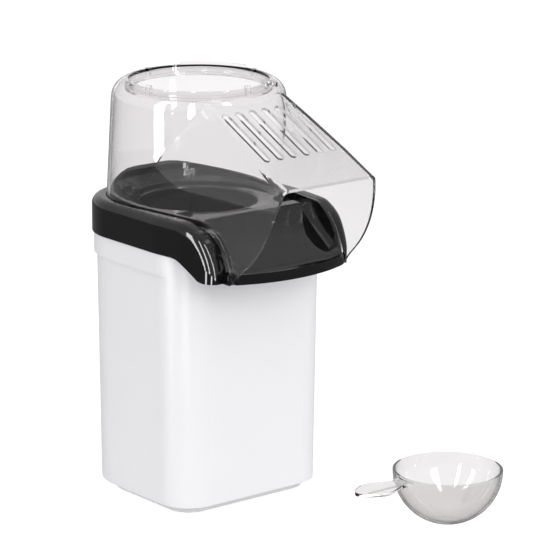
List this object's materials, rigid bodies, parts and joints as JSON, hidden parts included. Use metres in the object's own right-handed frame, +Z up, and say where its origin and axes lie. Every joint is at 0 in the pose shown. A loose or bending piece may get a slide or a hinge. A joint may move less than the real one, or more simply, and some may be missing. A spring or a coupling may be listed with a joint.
{
  "type": "popcorn maker",
  "caption": "Hot-air popcorn maker: white tapered housing, black deck with a pouring chute, clear lift-off hood with steam slots, clear measuring cup.",
  "frame": {"origin": "on the standing surface, under the axis of the popping chamber, fan and top opening", "axes": "+Z up; -Y towards the pouring chute; +X to the right of someone facing the chute"},
  "size_m": [0.1855, 0.2719, 0.2919],
  "materials": {
    "white_abs": "satin gloss",
    "black_abs": "high gloss",
    "clear_plastic": "clear polished plastic",
    "base_plastic": "matte",
    "rubber": "matte",
    "aluminium": "drawn",
    "steel": "plated",
    "mica": "matte mica",
    "nichrome": "oxidised wire",
    "silicone": "matte",
    "duct_plastic": "matte heat-resistant",
    "bronze": "sintered",
    "ferrite": "sintered",
    "copper_core": "wound core",
    "board": "phenolic",
    "black_plastic": "moulded",
    "lead": "sleeved wire"
  },
  "bodies": {
    "housing": {"housing_shell": "white_abs", "base_plate": "base_plastic", "rubber_feet": "rubber", "top_deck": "black_abs", "popping_chamber": "aluminium", "chamber_seal": "silicone", "chamber_screws": "steel", "heat_shield": "steel", "heater_frame": "mica", "heater_coil": "nichrome", "thermostat": "black_plastic", "thermal_fuse": "silicone", "fan_housing": "duct_plastic", "motor_can": "steel", "motor_end_cap": "black_plastic", "motor_magnets": "ferrite", "motor_bushes": "bronze", "motor_bracket": "steel", "motor_screws": "steel", "bracket_screws": "steel", "rectifier_board": "board", "rectifier_diodes": "black_plastic", "switch_body": "black_plastic", "cord_inlet_bush": "black_plastic", "internal_leads": "lead", "base_screws": "steel", "deck_screws": "steel"},
    "hood": {"hood": "clear_plastic"},
    "measuring_cup": {"measuring_cup": "clear_plastic"},
    "fan": {"fan_impeller": "aluminium", "motor_armature": "copper_core"},
    "rocker": {"switch_rocker": "black_plastic"}
  },
  "joints": [
    {"name": "hood_lift", "type": "slide", "parent": "housing", "child": "hood", "axis": [0, 0, 1], "range_m": [0, 0.13]},
    {"name": "cup_lift", "type": "slide", "parent": "housing", "child": "measuring_cup", "axis": [0, 0, 1], "range_m": [0, 0.25]},
    {"name": "fan_spin", "type": "hinge", "parent": "housing", "child": "fan", "pos_m": [0, 0, 0.0485], "axis": [0, 0, 1], "continuous": true},
    {"name": "switch_rock", "type": "hinge", "parent": "housing", "child": "rocker", "pos_m": [0.0626, -0.01, 0.024], "axis": [0, 1, 0], "range_deg": [-9, 9]}
  ]
}
